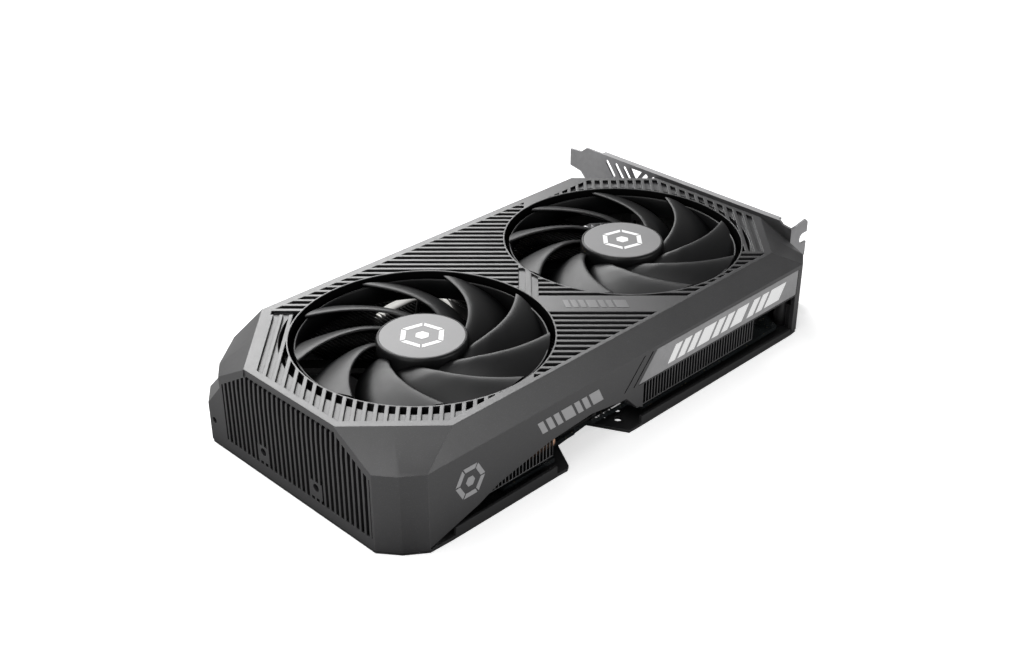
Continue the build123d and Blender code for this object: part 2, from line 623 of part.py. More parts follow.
# ---------------------------------------------------------------- I/O bracket
BRACKET_X, BRACKET_T = 109.2, 0.9   # inner plane and sheet thickness
DISPLAY_Y = (45.0, 23.0, 1.0)
WIDE_Y = -21.0
BRACKET_OUTLINE = [              # (y, z)
    (-39.6, 0.9), (70.9, 0.9), (74.0, 4.2), (74.0, 8.4), (80.4, 8.4), (80.4, 15.4),
    (74.0, 16.6), (71.0, 19.6), (71.0, 24.0), (74.0, 27.0), (80.4, 28.1), (80.4, 36.0),
    (74.0, 36.4), (70.9, 39.0), (-33.6, 39.0), (-35.2, 37.6), (-39.6, 37.0),
]
BRACKET_VENTS = [                # centres in y, centre z, slant, length, width
    ((56.5, 51.2, 46.4), 33.6, 52, 8.4, 1.9),
    ((38.2, 34.0, 29.8, 25.6), 33.6, -52, 8.4, 1.9),
    (range(8, 62, 6), 20.5, 52, 13.0, 2.6),
    (range(-30, 0, 6), 20.5, -52, 13.0, 2.6),
    (range(-22, 20, 6), 33.4, -52, 8.4, 2.2),
]
FLANGE_OUTLINE = [               # (x, z)
    (BRACKET_X, 0.9), (119.3, 0.9), (120.5, 2.1), (120.5, 17.4), (119.6, 18.4), (119.6, 21.2),
    (120.5, 22.2), (120.5, 36.6), (119.0, 38.2), (112.6, 37.2), (BRACKET_X, 37.0),
]

with BuildPart() as io_bracket:
    with BuildSketch(Plane.YZ.offset(BRACKET_X)):
        outline(BRACKET_OUTLINE)
        with Locations(*[(y, 7.0) for y in DISPLAY_Y]):
            Rectangle(16.6, 5.3, mode=Mode.SUBTRACT)
        with Locations((WIDE_Y, 7.3)):
            Rectangle(15.4, 6.0, mode=Mode.SUBTRACT)
        # slanted vents, and a triangle between the two slants of the upper row
        for centres, z, slant, length, width in BRACKET_VENTS:
            with Locations(*[turned(y, z, slant) for y in centres]):
                SlotOverall(length, width, mode=Mode.SUBTRACT)
        with BuildSketch(mode=Mode.SUBTRACT):
            outline([(38.6, 37.4), (45.4, 37.4), (42.0, 32.4)])
    extrude(amount=BRACKET_T)
    # folded lip along the fan-side edge
    box(BRACKET_X, -32.5, 38.2, BRACKET_X + 2.9, 62.0, 39.0)
    # screw flange with one notch per slot
    with BuildSketch(Plane.XZ.offset(38.7)):
        outline(FLANGE_OUTLINE)
        with Locations((118.9, 30.2), (118.9, 9.9)):
            SlotOverall(6.4, 4.4, mode=Mode.SUBTRACT)
    extrude(amount=0.9)
    # inner ears over the board
    for x, y in BRACKET_SCREWS:
        box(x - 4, y - 4, PCB_TOP + 0.03, BRACKET_X + 0.1, y + 4, PCB_TOP + 1.03)
        rod(x, y, PCB_TOP - 0.1, PCB_TOP + 1.2, 1.6, Mode.SUBTRACT)
export(io_bracket, "io_bracket")

with BuildPart() as bracket_screws:
    for x, y in BRACKET_SCREWS:
        rod(x, y, PCB_TOP + 1.05, PCB_TOP + 2.9, 2.8)
        rod(x, y, PCB_BOT, PCB_TOP + 1.1, 1.45)
        # cross recess
        with BuildSketch(Plane.XY.offset(PCB_TOP + 3.0)):
            with Locations((x, y)):
                Rectangle(3.4, 0.7)
                Rectangle(0.7, 3.4)
        extrude(amount=-0.9, mode=Mode.SUBTRACT)
export(bracket_screws, "bracket_screws")


def socket(y, half_width, height, tongue_half, tongue_z0, tongue_z1):
    """Open-ended shell with a tongue; heights are above the board."""
    box(95.0, y - half_width, PCB_TOP + 0.02, 111.0, y + half_width, PCB_TOP + height)
    inner = half_width - 0.5
    box(98.0, y - inner, PCB_TOP + 0.5, 111.5, y + inner, PCB_TOP + height - 0.5, Mode.SUBTRACT)
    box(97.5, y - tongue_half, PCB_TOP + tongue_z0, 110.0, y + tongue_half, PCB_TOP + tongue_z1)


with BuildPart() as display_sockets:
    for y in DISPLAY_Y:
        socket(y, half_width=8.1, height=4.9, tongue_half=5.6, tongue_z0=2.2, tongue_z1=3.2)
export(display_sockets, "display_sockets")

with BuildPart() as wide_socket:
    socket(WIDE_Y, half_width=7.5, height=5.6, tongue_half=5.4, tongue_z0=2.4, tongue_z1=3.6)
export(wide_socket, "wide_socket")

# ---------------------------------------------------------------- fans
RING_R = 44.2                    # rotor's outer ring, outside
HUB_R, HUB_IN_R = 16.2, 14.6     # hub cup, outside and inside
SHAFT_R = 1.5
BEARING_R, BEARING_BORE = 3.0, 1.54
BLADES = 9
BLADE_Z, BLADE_RISE, BLADE_T = 33.8, 9.2, 1.1   # mid height, height over the chord, thickness
# Blade stations: radius, leading-edge angle, angle spanned by the chord (degrees)
STATIONS = [
    (15.2, -56.0, 41.0), (22.0, -36.5, 38.0), (30.0, -20.0, 35.0),
    (37.0, -9.5, 33.0), (44.3, 0.0, 31.0),
]
# Section of the hub cup (radius, z)
HUB_SECTION = [
    (HUB_IN_R, 27.4), (HUB_R, 27.4), (HUB_R, 38.1), (15.7, 38.7), (15.2, 38.7), (15.2, 37.95),
    (SHAFT_R + 0.02, 37.95), (SHAFT_R + 0.02, 35.9), (3.0, 35.9), (3.0, 36.5), (HUB_IN_R, 36.5),
]
FRAME_Z = 24.9                   # underside of the fan frame
FRAME_ARM_ANGLES = (45, 135, 225, 315)
LUG_R = 52.61                    # frame screw lugs, from the fan axis


def fan_blade(fan_x, tip_angle):
    """One blade, its tip's leading edge at tip_angle."""
    with BuildPart() as blade:
        for radius, lead, span in STATIONS:
            mid = math.radians(tip_angle + lead - span / 2)
            chord = 2 * radius * math.tan(math.radians(span / 2))
            with BuildSketch(Plane((fan_x + radius * math.cos(mid), radius * math.sin(mid), BLADE_Z),
                                   x_dir=(-math.sin(mid), math.cos(mid), 0),
                                   z_dir=(math.cos(mid), math.sin(mid), 0))):
                Rectangle(math.hypot(chord, BLADE_RISE), BLADE_T,
                          rotation=math.degrees(math.atan2(BLADE_RISE, chord)))
        loft()
        with BuildPart(mode=Mode.INTERSECT):
            rod(fan_x, 0, 28.0, 39.0, RING_R - 0.4)
    return blade.part


def fan_rotor(side, fan_x, tip_angle):
    blade = fan_blade(fan_x, tip_angle)
    with BuildPart() as rotor:
        with BuildSketch(upright_plane(fan_x)):
            outline(HUB_SECTION)
        revolve(axis=upright_axis(fan_x))
        # outer ring
        with BuildSketch(Plane.XY.offset(28.2)):
            with Locations((fan_x, 0)):
                Circle(RING_R)
                Circle(RING_R - 0.9, mode=Mode.SUBTRACT)
        extrude(amount=9.2)
        for k in range(BLADES):
            add(blade.rotate(upright_axis(fan_x), 360.0 / BLADES * k))
        # keep the motor space clear of the blade roots
        rod(fan_x, 0, 27.0, 36.4, HUB_IN_R, Mode.SUBTRACT)
    export(rotor, f"fan_rotor_{side}")


def hub_disc(side, fan_x):
    with BuildPart() as disc:
        rod(fan_x, 0, 37.97, 38.75, 15.1)
        chamfer(disc.edges().group_by(Axis.Z)[-1], 0.2)
    export(disc, f"hub_disc_{side}")


def fan_shaft(side, fan_x):
    with BuildPart() as shaft:
        rod(fan_x, 0, 26.9, 37.9, SHAFT_R)
        chamfer(shaft.edges().group_by(Axis.Z)[0], 0.3)
    export(shaft, f"fan_shaft_{side}")


def plain_ring(name, fan_x, z0, z1, radius, bore):
    with BuildPart() as ring:
        tube(fan_x, 0, z0, z1, radius, bore)
    export(ring, name)


def fan_frame(side, fan_x):
    """Disc under the motor, four arms with screw lugs, and the bearing holder."""
    directions = [(math.cos(math.radians(a)), math.sin(math.radians(a))) for a in FRAME_ARM_ANGLES]
    lugs = [(fan_x + LUG_R * dx, LUG_R * dy) for dx, dy in directions]
    with BuildPart() as frame:
        rod(fan_x, 0, FRAME_Z, 26.3, 17.6)
        for angle, (dx, dy), lug in zip(FRAME_ARM_ANGLES, directions, lugs):
            with BuildSketch(Plane.XY.offset(FRAME_Z)):
                with Locations(turned(fan_x + 33.0 * dx, 33.0 * dy, angle)):
                    Rectangle(36.0, 5.4)
            extrude(amount=2.1)
            rod(*lug, FRAME_Z, 27.0, 3.4)
        rod(fan_x, 0, 26.2, 35.6, 4.0)
        rod(fan_x, 0, 26.4, 35.7, BEARING_R + 0.03, Mode.SUBTRACT)
        for lug in lugs:
            rod(*lug, FRAME_Z - 0.1, 27.1, 1.3, Mode.SUBTRACT)
    export(frame, f"fan_frame_{side}")


def stator_core(side, fan_x):
    with BuildPart() as stator:
        with BuildSketch(Plane.XY.offset(29.4)):
            with Locations((fan_x, 0)):
                Circle(6.0)
                with PolarLocations(8.6, 6):
                    Rectangle(6.4, 2.2)
                with PolarLocations(11.9, 6):
                    Rectangle(1.4, 8.4)
            with Locations((fan_x, 0)):
                Circle(4.05, mode=Mode.SUBTRACT)
        extrude(amount=4.6)
        with BuildPart(mode=Mode.INTERSECT):
            rod(fan_x, 0, 29.0, 35.0, 12.8)
    export(stator, f"stator_core_{side}")


def fan_coils(side, fan_x):
    with BuildPart() as coils:
        with Locations((fan_x, 0, 31.7)):
            with PolarLocations(8.6, 6):
                Box(4.6, 4.4, 6.6)
                Box(4.8, 2.26, 4.66, mode=Mode.SUBTRACT)
    export(coils, f"coils_{side}")


def frame_screws(side, fan_x):
    with BuildPart() as screws:
        for x, y in fan_corners(fan_x):
            rod(x, y, 24.62, 24.88, 2.2)
            rod(x, y, 24.8, 33.0, 1.1)
    export(screws, f"frame_screws_{side}")


for side, fan_x, tip_angle in (("tail", -FAN_X, 38.0), ("front", FAN_X, 17.7)):
    fan_rotor(side, fan_x, tip_angle)
    hub_disc(side, fan_x)
    fan_shaft(side, fan_x)
    plain_ring(f"magnet_ring_{side}", fan_x, z0=28.0, z1=35.6, radius=14.55, bore=13.2)
    plain_ring(f"fan_bearing_{side}", fan_x, z0=26.6, z1=35.4, radius=BEARING_R, bore=BEARING_BORE)
    fan_frame(side, fan_x)
    plain_ring(f"motor_board_{side}", fan_x, z0=26.45, z1=27.2, radius=12.0, bore=4.1)
    stator_core(side, fan_x)
    fan_coils(side, fan_x)
    frame_screws(side, fan_x)

# ---------------------------------------------------------------- fan headers and cables
HEADER_X, HEADER_Y = -14.3, (44.2, 50.2)   # tail fan's header, front fan's header
CABLE_R, CABLE_Z, CABLE_END_Z = 0.65, 25.6, 9.2
# Cable runs at CABLE_Z (x, y), each ending above its header
CABLE_RUNS = {
    "tail": [(-41.5, 17.2), (-16.4, 42.3), (HEADER_X, HEADER_Y[0])],
    "front": [(41.5, 17.2), (13.0, 45.7), (-11.0, 50.0), (HEADER_X, HEADER_Y[1])],
}

with BuildPart() as fan_headers:
    for y in HEADER_Y:
        box(HEADER_X - 2, y - 2.6, PCB_TOP + 0.02, HEADER_X + 2, y + 2.6, PCB_TOP + 4.6)
export(fan_headers, "fan_headers")

for side, run in CABLE_RUNS.items():
    points = [(x, y, CABLE_Z) for x, y in run] + [(*run[-1], CABLE_END_Z)]
    with BuildPart() as cable:
        for start, end in zip(points, points[1:]):
            direction = Vector(*end) - Vector(*start)
            with BuildSketch(Plane(start, z_dir=direction)):
                Circle(CABLE_R)
            extrude(amount=direction.length)
        with Locations(*points[1:-1]):
            Sphere(CABLE_R)
    export(cable, f"fan_cable_{side}")
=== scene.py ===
"""Graphics card with two axial fans, lying flat on a white sweep.

The card is long in X and its fan face looks up (+Z). The "tail" fan sits at -X and the
"front" fan at +X. The long badge and the marked side wall face -Y, towards the camera.
Sizes are in millimetres unless noted; MM turns them into scene metres.
"""
import bpy
import bmesh
import math
import numpy as np
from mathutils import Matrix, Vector

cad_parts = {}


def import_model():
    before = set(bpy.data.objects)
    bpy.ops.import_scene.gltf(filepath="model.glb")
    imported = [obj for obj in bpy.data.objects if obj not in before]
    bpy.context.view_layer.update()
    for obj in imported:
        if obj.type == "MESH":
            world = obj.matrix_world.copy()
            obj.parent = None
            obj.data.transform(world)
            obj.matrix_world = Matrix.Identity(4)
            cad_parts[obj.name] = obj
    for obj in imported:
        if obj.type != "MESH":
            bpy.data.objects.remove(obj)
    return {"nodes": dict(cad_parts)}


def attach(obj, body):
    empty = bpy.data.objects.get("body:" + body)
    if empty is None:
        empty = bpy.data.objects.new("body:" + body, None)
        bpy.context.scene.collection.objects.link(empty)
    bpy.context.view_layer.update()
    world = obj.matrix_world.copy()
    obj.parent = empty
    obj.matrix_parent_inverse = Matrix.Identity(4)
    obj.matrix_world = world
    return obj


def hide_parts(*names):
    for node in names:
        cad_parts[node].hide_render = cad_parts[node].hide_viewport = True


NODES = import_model()["nodes"]
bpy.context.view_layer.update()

MM = 0.001
FACE_Z = 39.6           # top of the shroud's fan face
BOARD_TOP_Z = 4.5
FAN_X = 52.3            # fan axes lie at plus and minus this X
# side, X of the fan axis, angle of the first blade's leading tip (degrees)
FANS = (("tail", -FAN_X, 38.0), ("front", FAN_X, 17.7))


# ------------------------------------------------------------------ shader graphs
MATERIALS = {}          # material name -> Graph


class Graph:
    """A new material with a Principled shader, and short ways to add nodes to it."""

    def __init__(self, name):
        self.material = bpy.data.materials.new(name)
        self.material.use_nodes = True
        self.tree = self.material.node_tree
        self.tree.nodes.clear()
        self.out = self.node("ShaderNodeOutputMaterial")
        self.bsdf = self.node("ShaderNodeBsdfPrincipled")
        self.feed(self.out.inputs[0], self.bsdf.outputs[0])
        self.coords = self.node("ShaderNodeTexCoord").outputs["Object"]
        MATERIALS[name] = self

    def feed(self, socket, value):
        """Link a socket, or set a number, vector or opaque colour."""
        if isinstance(value, bpy.types.NodeSocket):
            self.tree.links.new(value, socket)
        elif isinstance(value, tuple):
            socket.default_value = (*value, 1.0)[:len(socket.default_value)]
        else:
            socket.default_value = value

    def node(self, kind, inputs=None, **settings):
        node = self.tree.nodes.new(kind)
        for key, value in settings.items():
            setattr(node, key, value)
        for key, value in (inputs or {}).items():
            self.feed(node.inputs[key], value)
        return node

    def shade(self, inputs):
        for key, value in inputs.items():
            self.feed(self.bsdf.inputs[key], value)

    def base_color(self):
        return self.bsdf.inputs["Base Color"].links[0].from_socket

    def noise(self, scale, detail=2.0, rough=0.5, vector=None):
        return self.node("ShaderNodeTexNoise", {
            "Scale": scale, "Detail": detail, "Roughness": rough,
            "Vector": vector or self.coords}).outputs["Fac"]

    def ramp(self, value, low=0.0, high=1.0, to_low=0.0, to_high=1.0):
        return self.node("ShaderNodeMapRange", {
            "From Min": low, "From Max": high, "To Min": to_low, "To Max": to_high,
            "Value": value}).outputs[0]

    def math(self, operation, first, second=None, clamp=False):
        inputs = {0: first} if second is None else {0: first, 1: second}
        node = self.node("ShaderNodeMath", inputs, operation=operation, use_clamp=clamp)
        return node.outputs[0]

    def mix(self, factor, first, second, blend="MIX"):
        return self.node("ShaderNodeMix", {0: factor, 6: first, 7: second},
                         data_type="RGBA", blend_type=blend).outputs[2]

    def split(self, vector):
        return self.node("ShaderNodeSeparateXYZ", {0: vector}).outputs

    def normal(self):
        return self.node("ShaderNodeNewGeometry").outputs["Normal"]


def scaled(color, factor, lift=0.0):
    return tuple(min(1.0, channel * factor + lift) for channel in color)


def fan_well_shade_mask(g):
    """Mask for painted shade: 1 on the upright walls of the two fan openings, 0 elsewhere."""
    place = g.split(g.coords)
    dx = g.math("SUBTRACT", g.math("ABSOLUTE", place["X"]), FAN_X * MM)
    dy = place["Y"]
    radius = g.math("SQRT", g.math("ADD", g.math("MULTIPLY", dx, dx), g.math("MULTIPLY", dy, dy)))
    return g.math("MULTIPLY", g.ramp(radius, low=0.04635, high=0.0461),
                  g.ramp(place["Z"], low=0.0395, high=0.0391))


def surface(name, color, rough, metal=0.0, grain=(4500.0, 0.10, 0.012), variation=0.12,
            edge=0.35, edge_highlight_color=None, round_mm=0.22, spec=0.5, brushed=None, flake=0.0,
            cavity=0.0, glow=0.0, wells=False):
    """Base material: grain bump, slow drift, painted edge highlights, painted shade in cavities
    and softened corners.

    grain      noise scale, bump strength, bump depth in mm
    variation  share by which the colour drifts darker and lighter
    edge       amount of painted highlight on sharp edges, towards the edge colour
    round_mm   radius of the shaded corner rounding
    brushed    streak scale along X, Y and Z, then the swing it gives the roughness
    flake      strength of light specks
    cavity     reach in mm of the painted shade in slots and corners
    wells      paints shade on the walls of the fan openings; needs cavity
    """
    g = Graph(name)
    grain_scale, bump_strength, bump_mm = grain
    fine = g.noise(scale=grain_scale, detail=2.0, rough=0.6)
    mid = g.noise(scale=420.0, detail=3.0, rough=0.55)
    slow = g.noise(scale=38.0, detail=3.0, rough=0.5)
    drift = g.math("ADD", g.math("MULTIPLY", slow, 0.6), g.math("MULTIPLY", mid, 0.4))
    col = g.mix(g.ramp(drift, low=0.35, high=0.65),
                scaled(color, 1 - variation), scaled(color, 1 + variation))
    if flake > 0:
        specks = g.noise(scale=grain_scale * 0.8, detail=1.0, rough=0.4)
        col = g.mix(g.ramp(specks, low=0.56, high=0.74, to_high=flake),
                    col, scaled(color, 3.2, lift=0.02))

    rounded = g.node("ShaderNodeBevel", {"Radius": round_mm * MM}, samples=4).outputs[0]
    if edge > 0:        # the rounded normal leaves the true one only near an edge
        agreement = g.node("ShaderNodeVectorMath", {0: rounded, 1: g.normal()},
                           operation="DOT_PRODUCT").outputs["Value"]
        near_edge = g.ramp(agreement, low=0.985, high=0.86)
        patchy = g.ramp(mid, low=0.3, high=0.62, to_low=0.45)
        # painted highlight: near sharp edges the colour is painted lighter, in patches, towards
        # the edge colour
        painted_edge_light = g.math("MULTIPLY", g.math("MULTIPLY", near_edge, patchy), edge, clamp=True)
        col = g.mix(painted_edge_light, col, edge_highlight_color or scaled(color, 2.6, lift=0.05))
    if cavity > 0:      # painted shade: slots and corners are painted darker and duller
        occlusion = g.node("ShaderNodeAmbientOcclusion", {"Distance": cavity * MM}, samples=4)
        exposed = g.ramp(occlusion.outputs["AO"], low=0.12, high=0.62)
        col = g.mix(exposed, scaled(color, 0.12), col)
        spec = g.ramp(exposed, to_low=spec * 0.05, to_high=spec)
    # painted shade: the upright walls of the fan openings are painted dark and dull
    if wells:
        inside = fan_well_shade_mask(g)
        col = g.mix(inside, col, scaled(color, 0.10))
        spec = g.math("MULTIPLY", g.ramp(inside, to_low=1.0, to_high=0.06), spec)

    rough_swing = 0.08
    roughness = g.math("ADD", rough - rough_swing / 2,
                       g.math("MULTIPLY", g.ramp(drift, low=0.3, high=0.7), rough_swing))
    if brushed:
        *streak_scale, swing = brushed
        stretched = g.node("ShaderNodeMapping", {"Vector": g.coords,
                                                 "Scale": tuple(streak_scale)}).outputs[0]
        streak = g.noise(scale=1.0, detail=4.0, rough=0.7, vector=stretched)
        roughness = g.math("ADD", roughness,
                           g.math("MULTIPLY", g.math("SUBTRACT", streak, 0.5), swing))
        fine = g.math("ADD", g.math("MULTIPLY", fine, 0.4), g.math("MULTIPLY", streak, 0.9))
    bump = g.node("ShaderNodeBump", {"Strength": bump_strength, "Distance": bump_mm * MM,
                                     "Height": fine, "Normal": rounded})
    g.shade({"Base Color": col, "Roughness": roughness, "Normal": bump.outputs[0],
             "Metallic": metal, "Specular IOR Level": spec})
    # painted light: emission makes the surface glow though it is no lamp
    if glow > 0:
        g.shade({"Emission Color": col, "Emission Strength": glow})
    return g


def board_material():
    """Black solder mask: faint traces under the lacquer, via dots and drifting gloss."""
    g = Graph("board_mask")
    wave = g.node("ShaderNodeTexWave", {"Scale": 420.0, "Distortion": 5.0, "Detail": 2.0,
                                        "Vector": g.coords},
                  wave_type="BANDS", bands_direction="DIAGONAL")
    lines = g.ramp(wave.outputs["Fac"], low=0.80, high=0.90)
    routed_area = g.ramp(g.noise(scale=95.0, detail=1.0), low=0.48, high=0.54)
    traces = g.math("MULTIPLY", lines, routed_area)
    cells = g.node("ShaderNodeTexVoronoi", {"Scale": 480.0, "Vector": g.coords}, feature="F1")
    vias = g.ramp(cells.outputs["Distance"], low=0.16, high=0.10)
    col = g.mix(traces, (0.010, 0.012, 0.013), (0.028, 0.034, 0.036))
    col = g.mix(g.math("MULTIPLY", vias, 0.6), col, (0.20, 0.17, 0.10))
    gloss = g.ramp(g.noise(scale=300.0, detail=2.0), low=0.3, high=0.7, to_low=0.24, to_high=0.40)
    bump = g.node("ShaderNodeBump", {"Strength": 0.3, "Distance": 0.00003,
                                     "Height": g.math("ADD", traces, vias)})
    g.shade({"Base Color": col, "Roughness": gloss, "Normal": bump.outputs[0]})


def pipe_material():
    """Nickel-plated pipes; whatever lies beyond copper_y on the -Y side is bare copper."""
    g = surface("pipe_nickel", color=(0.70, 0.69, 0.66), rough=0.26, metal=1.0,
                brushed=(80, 2500, 2500, 0.12), edge=0.2)
    copper_y = -0.044
    is_copper = g.math("LESS_THAN", g.split(g.coords)["Y"], copper_y)
    g.shade({"Base Color": g.mix(is_copper, g.base_color(), (1.0, 0.60, 0.42), "MULTIPLY")})


def paint_top_highlight(g):
    """Painted highlight: upward-facing skin glows, as if it caught the light from above."""
    up = g.ramp(g.split(g.normal())["Z"], low=0.30, high=0.85)
    g.shade({"Emission Strength": g.math("MULTIPLY", up, 0.75)})


def paint_bracket_top_light(g):
    """Painted highlight: upward-facing skin above floor_z is painted lighter and not metallic."""
    floor_z = 0.0384
    up = g.ramp(g.split(g.normal())["Z"], low=0.5, high=0.9)
    top = g.math("MULTIPLY", up, g.math("GREATER_THAN", g.split(g.coords)["Z"], floor_z))
    metal = g.bsdf.inputs["Metallic"].default_value
    g.shade({"Base Color": g.mix(top, g.base_color(), (0.40, 0.398, 0.405)),
             "Metallic": g.ramp(top, to_low=metal, to_high=0.0)})


# ------------------------------------------------------------------ materials
# edge paints highlights on sharp edges; cavity paints shade into slots, corners and gaps between
# blades and fins; wells paints shade on the fan openings' walls
surface("shroud_plastic", color=(0.030, 0.0295, 0.031), rough=0.38, grain=(3800.0, 0.28, 0.016),
        flake=0.20, edge=0.55, edge_highlight_color=(0.22, 0.218, 0.222), round_mm=0.35, spec=0.80,
        variation=0.07, cavity=7.0, wells=True)
surface("badge_satin", color=(0.36, 0.358, 0.364), rough=0.36, metal=0.25,
        grain=(4200.0, 0.2, 0.012), edge=0.4, flake=0.2)
surface("backplate_coat", color=(0.030, 0.030, 0.031), rough=0.46, metal=0.2,
        grain=(2600.0, 0.4, 0.03), edge_highlight_color=(0.10, 0.10, 0.10))
bracket = surface("bracket_nickel", color=(0.34, 0.338, 0.345), rough=0.36, metal=0.85,
                  brushed=(900, 60, 3000, 0.18), edge=0.45, edge_highlight_color=(0.7, 0.7, 0.7),
                  round_mm=0.12)
surface("rotor_plastic", color=(0.0075, 0.0075, 0.008), rough=0.42, grain=(5200.0, 0.12, 0.008),
        edge=0.0, spec=0.36, cavity=14.0)
surface("hub_silver", color=(0.27, 0.268, 0.272), rough=0.42, grain=(5200.0, 0.12, 0.006),
        variation=0.04, edge=0.3, edge_highlight_color=(0.45, 0.45, 0.45), spec=0.40)
surface("fin_aluminium", color=(0.20, 0.20, 0.205), rough=0.38, metal=0.9,
        brushed=(300, 300, 2500, 0.15), edge=0.55, edge_highlight_color=(0.65, 0.65, 0.66),
        round_mm=0.08, cavity=5.0)
surface("copper_plate", color=(0.72, 0.36, 0.20), rough=0.34, metal=1.0,
        brushed=(2200, 90, 2200, 0.2), edge=0.3, edge_highlight_color=(0.85, 0.55, 0.36))
surface("plated_steel", color=(0.50, 0.50, 0.51), rough=0.32, metal=1.0,
        brushed=(1800, 1800, 90, 0.12), edge=0.4)
surface("black_screw", color=(0.035, 0.035, 0.036), rough=0.30, metal=0.8, edge=0.6,
        edge_highlight_color=(0.3, 0.3, 0.3), round_mm=0.1)
surface("motor_plastic", color=(0.016, 0.016, 0.016), rough=0.5, edge=0.2)
surface("chip_epoxy", color=(0.020, 0.020, 0.021), rough=0.48, grain=(5000.0, 0.3, 0.012),
        edge=0.2, round_mm=0.1)
surface("package_laminate", color=(0.012, 0.055, 0.028), rough=0.30, edge=0.2)
surface("die_silicon", color=(0.22, 0.23, 0.27), rough=0.10, metal=0.9, edge=0.1)
surface("thermal_pad", color=(0.26, 0.33, 0.42), rough=0.8, edge=0.0)
surface("inductor_ferrite", color=(0.085, 0.085, 0.087), rough=0.55, grain=(3000.0, 0.5, 0.03),
        edge=0.4)
surface("capacitor_can", color=(0.68, 0.68, 0.70), rough=0.24, metal=1.0,
        brushed=(2500, 2500, 60, 0.1), edge=0.3)
surface("gold_contact", color=(0.90, 0.62, 0.22), rough=0.20, metal=1.0,
        brushed=(3500, 120, 3500, 0.12), edge=0.2, round_mm=0.05)
surface("brass_turned", color=(0.76, 0.58, 0.27), rough=0.28, metal=1.0, edge=0.3)
surface("connector_plastic", color=(0.016, 0.016, 0.016), rough=0.36, grain=(4200.0, 0.2, 0.01),
        edge=0.25, round_mm=0.15)
surface("tin_pins", color=(0.70, 0.70, 0.70), rough=0.26, metal=1.0, edge=0.2, round_mm=0.08)
surface("socket_shell", color=(0.50, 0.50, 0.51), rough=0.24, metal=1.0,
        brushed=(90, 2200, 2200, 0.12), edge=0.4, round_mm=0.1)
surface("magnet_ferrite", color=(0.07, 0.07, 0.07), rough=0.6, edge=0.1)
surface("core_laminations", color=(0.30, 0.30, 0.31), rough=0.4, metal=0.9,
        brushed=(200, 200, 5000, 0.3), edge=0.2)
surface("coil_wire", color=(0.70, 0.30, 0.12), rough=0.3, metal=1.0,
        brushed=(200, 200, 4200, 0.4), edge=0.1)
surface("cable_sleeve", color=(0.012, 0.012, 0.012), rough=0.5, grain=(2500.0, 0.4, 0.03),
        edge=0.0)
# painted light: the white marks glow a little
surface("white_marking", color=(0.88, 0.88, 0.88), rough=0.42, grain=(4200.0, 0.1, 0.006),
        variation=0.03, edge=0.0, glow=0.22)
surface("face_marking", color=(0.11, 0.109, 0.112), rough=0.34, grain=(4200.0, 0.1, 0.006),
        variation=0.05, edge=0.3, spec=0.85)
surface("grey_marking", color=(0.42, 0.418, 0.424), rough=0.40, grain=(4200.0, 0.1, 0.006),
        variation=0.05, edge=0.2)
board_material()
pipe_material()
# painted highlight: the pipe glows, most on its upward-facing skin, standing in for reflected top
# light
painted_highlight = surface("pipe_painted_highlight", color=(0.82, 0.81, 0.78), rough=0.24, metal=0.35,
                   brushed=(2500, 80, 2500, 0.10), edge=0.0, glow=0.6)
paint_top_highlight(painted_highlight)
paint_bracket_top_light(bracket)

# material -> pieces of the card that wear it
CARD_PIECES = {
    "shroud_plastic": "shroud", "badge_satin": "side_badge", "backplate_coat": "backplate",
    "board_mask": "pcb", "gold_contact": "edge_contacts", "package_laminate": "gpu_package",
    "die_silicon": "gpu_die", "chip_epoxy": "memory_chips power_stages",
    "thermal_pad": "thermal_pads", "inductor_ferrite": "inductors",
    "capacitor_can": "capacitors", "black_screw": "standoffs backplate_screws shroud_screws",
    "connector_plastic": "power_connector fan_headers", "tin_pins": "power_pins",
    "copper_plate": "cold_plate", "pipe_nickel": "heat_pipes",
    "fin_aluminium": "fins_tail fins_front",
    "plated_steel": "retention_plate gpu_screws bracket_screws",
    "bracket_nickel": "io_bracket", "socket_shell": "display_sockets wide_socket"}
# the same for the pieces of each fan, named without their side
FAN_PIECES = {
    "rotor_plastic": "fan_rotor", "hub_silver": "hub_disc", "plated_steel": "fan_shaft",
    "magnet_ferrite": "magnet_ring", "brass_turned": "fan_bearing",
    "motor_plastic": "fan_frame", "board_mask": "motor_board",
    "core_laminations": "stator_core", "coil_wire": "coils", "black_screw": "frame_screws",
    "cable_sleeve": "fan_cable"}


def dress_pieces():
    wears = {piece: name for name, pieces in CARD_PIECES.items() for piece in pieces.split()}
    for side, _, _ in FANS:
        wears.update({f"{piece}_{side}": name for name, piece in FAN_PIECES.items()})
    for piece in NODES:
        ob = NODES[piece]
        material = MATERIALS[wears[piece]].material
        if not ob.material_slots:
            ob.data.materials.append(material)
        for slot in ob.material_slots:
            slot.link = "OBJECT"
            slot.material = material


dress_pieces()


# ------------------------------------------------------------------ mesh helpers
def add_bevel(ob, width_mm):
    bevel = ob.modifiers.new("edge", "BEVEL")
    bevel.width = width_mm * MM
    bevel.segments = 2
    bevel.limit_method = "ANGLE"
    return bevel


def new_object(name, verts, faces, material, smooth_angle=None):
    mesh = bpy.data.meshes.new(name)
    mesh.from_pydata([tuple(vert) for vert in verts], [], faces)
    bm = bmesh.new()
    bm.from_mesh(mesh)
    bmesh.ops.remove_doubles(bm, verts=bm.verts, dist=1e-7)
    bmesh.ops.recalc_face_normals(bm, faces=bm.faces)
    bm.to_mesh(mesh)
    bm.free()
    ob = bpy.data.objects.new(name, mesh)
    bpy.context.scene.collection.objects.link(ob)
    mesh.materials.append(MATERIALS[material].material)
    if smooth_angle is not None:
        mesh.shade_smooth()
        mesh.set_sharp_from_angle(angle=math.radians(smooth_angle))
    return ob


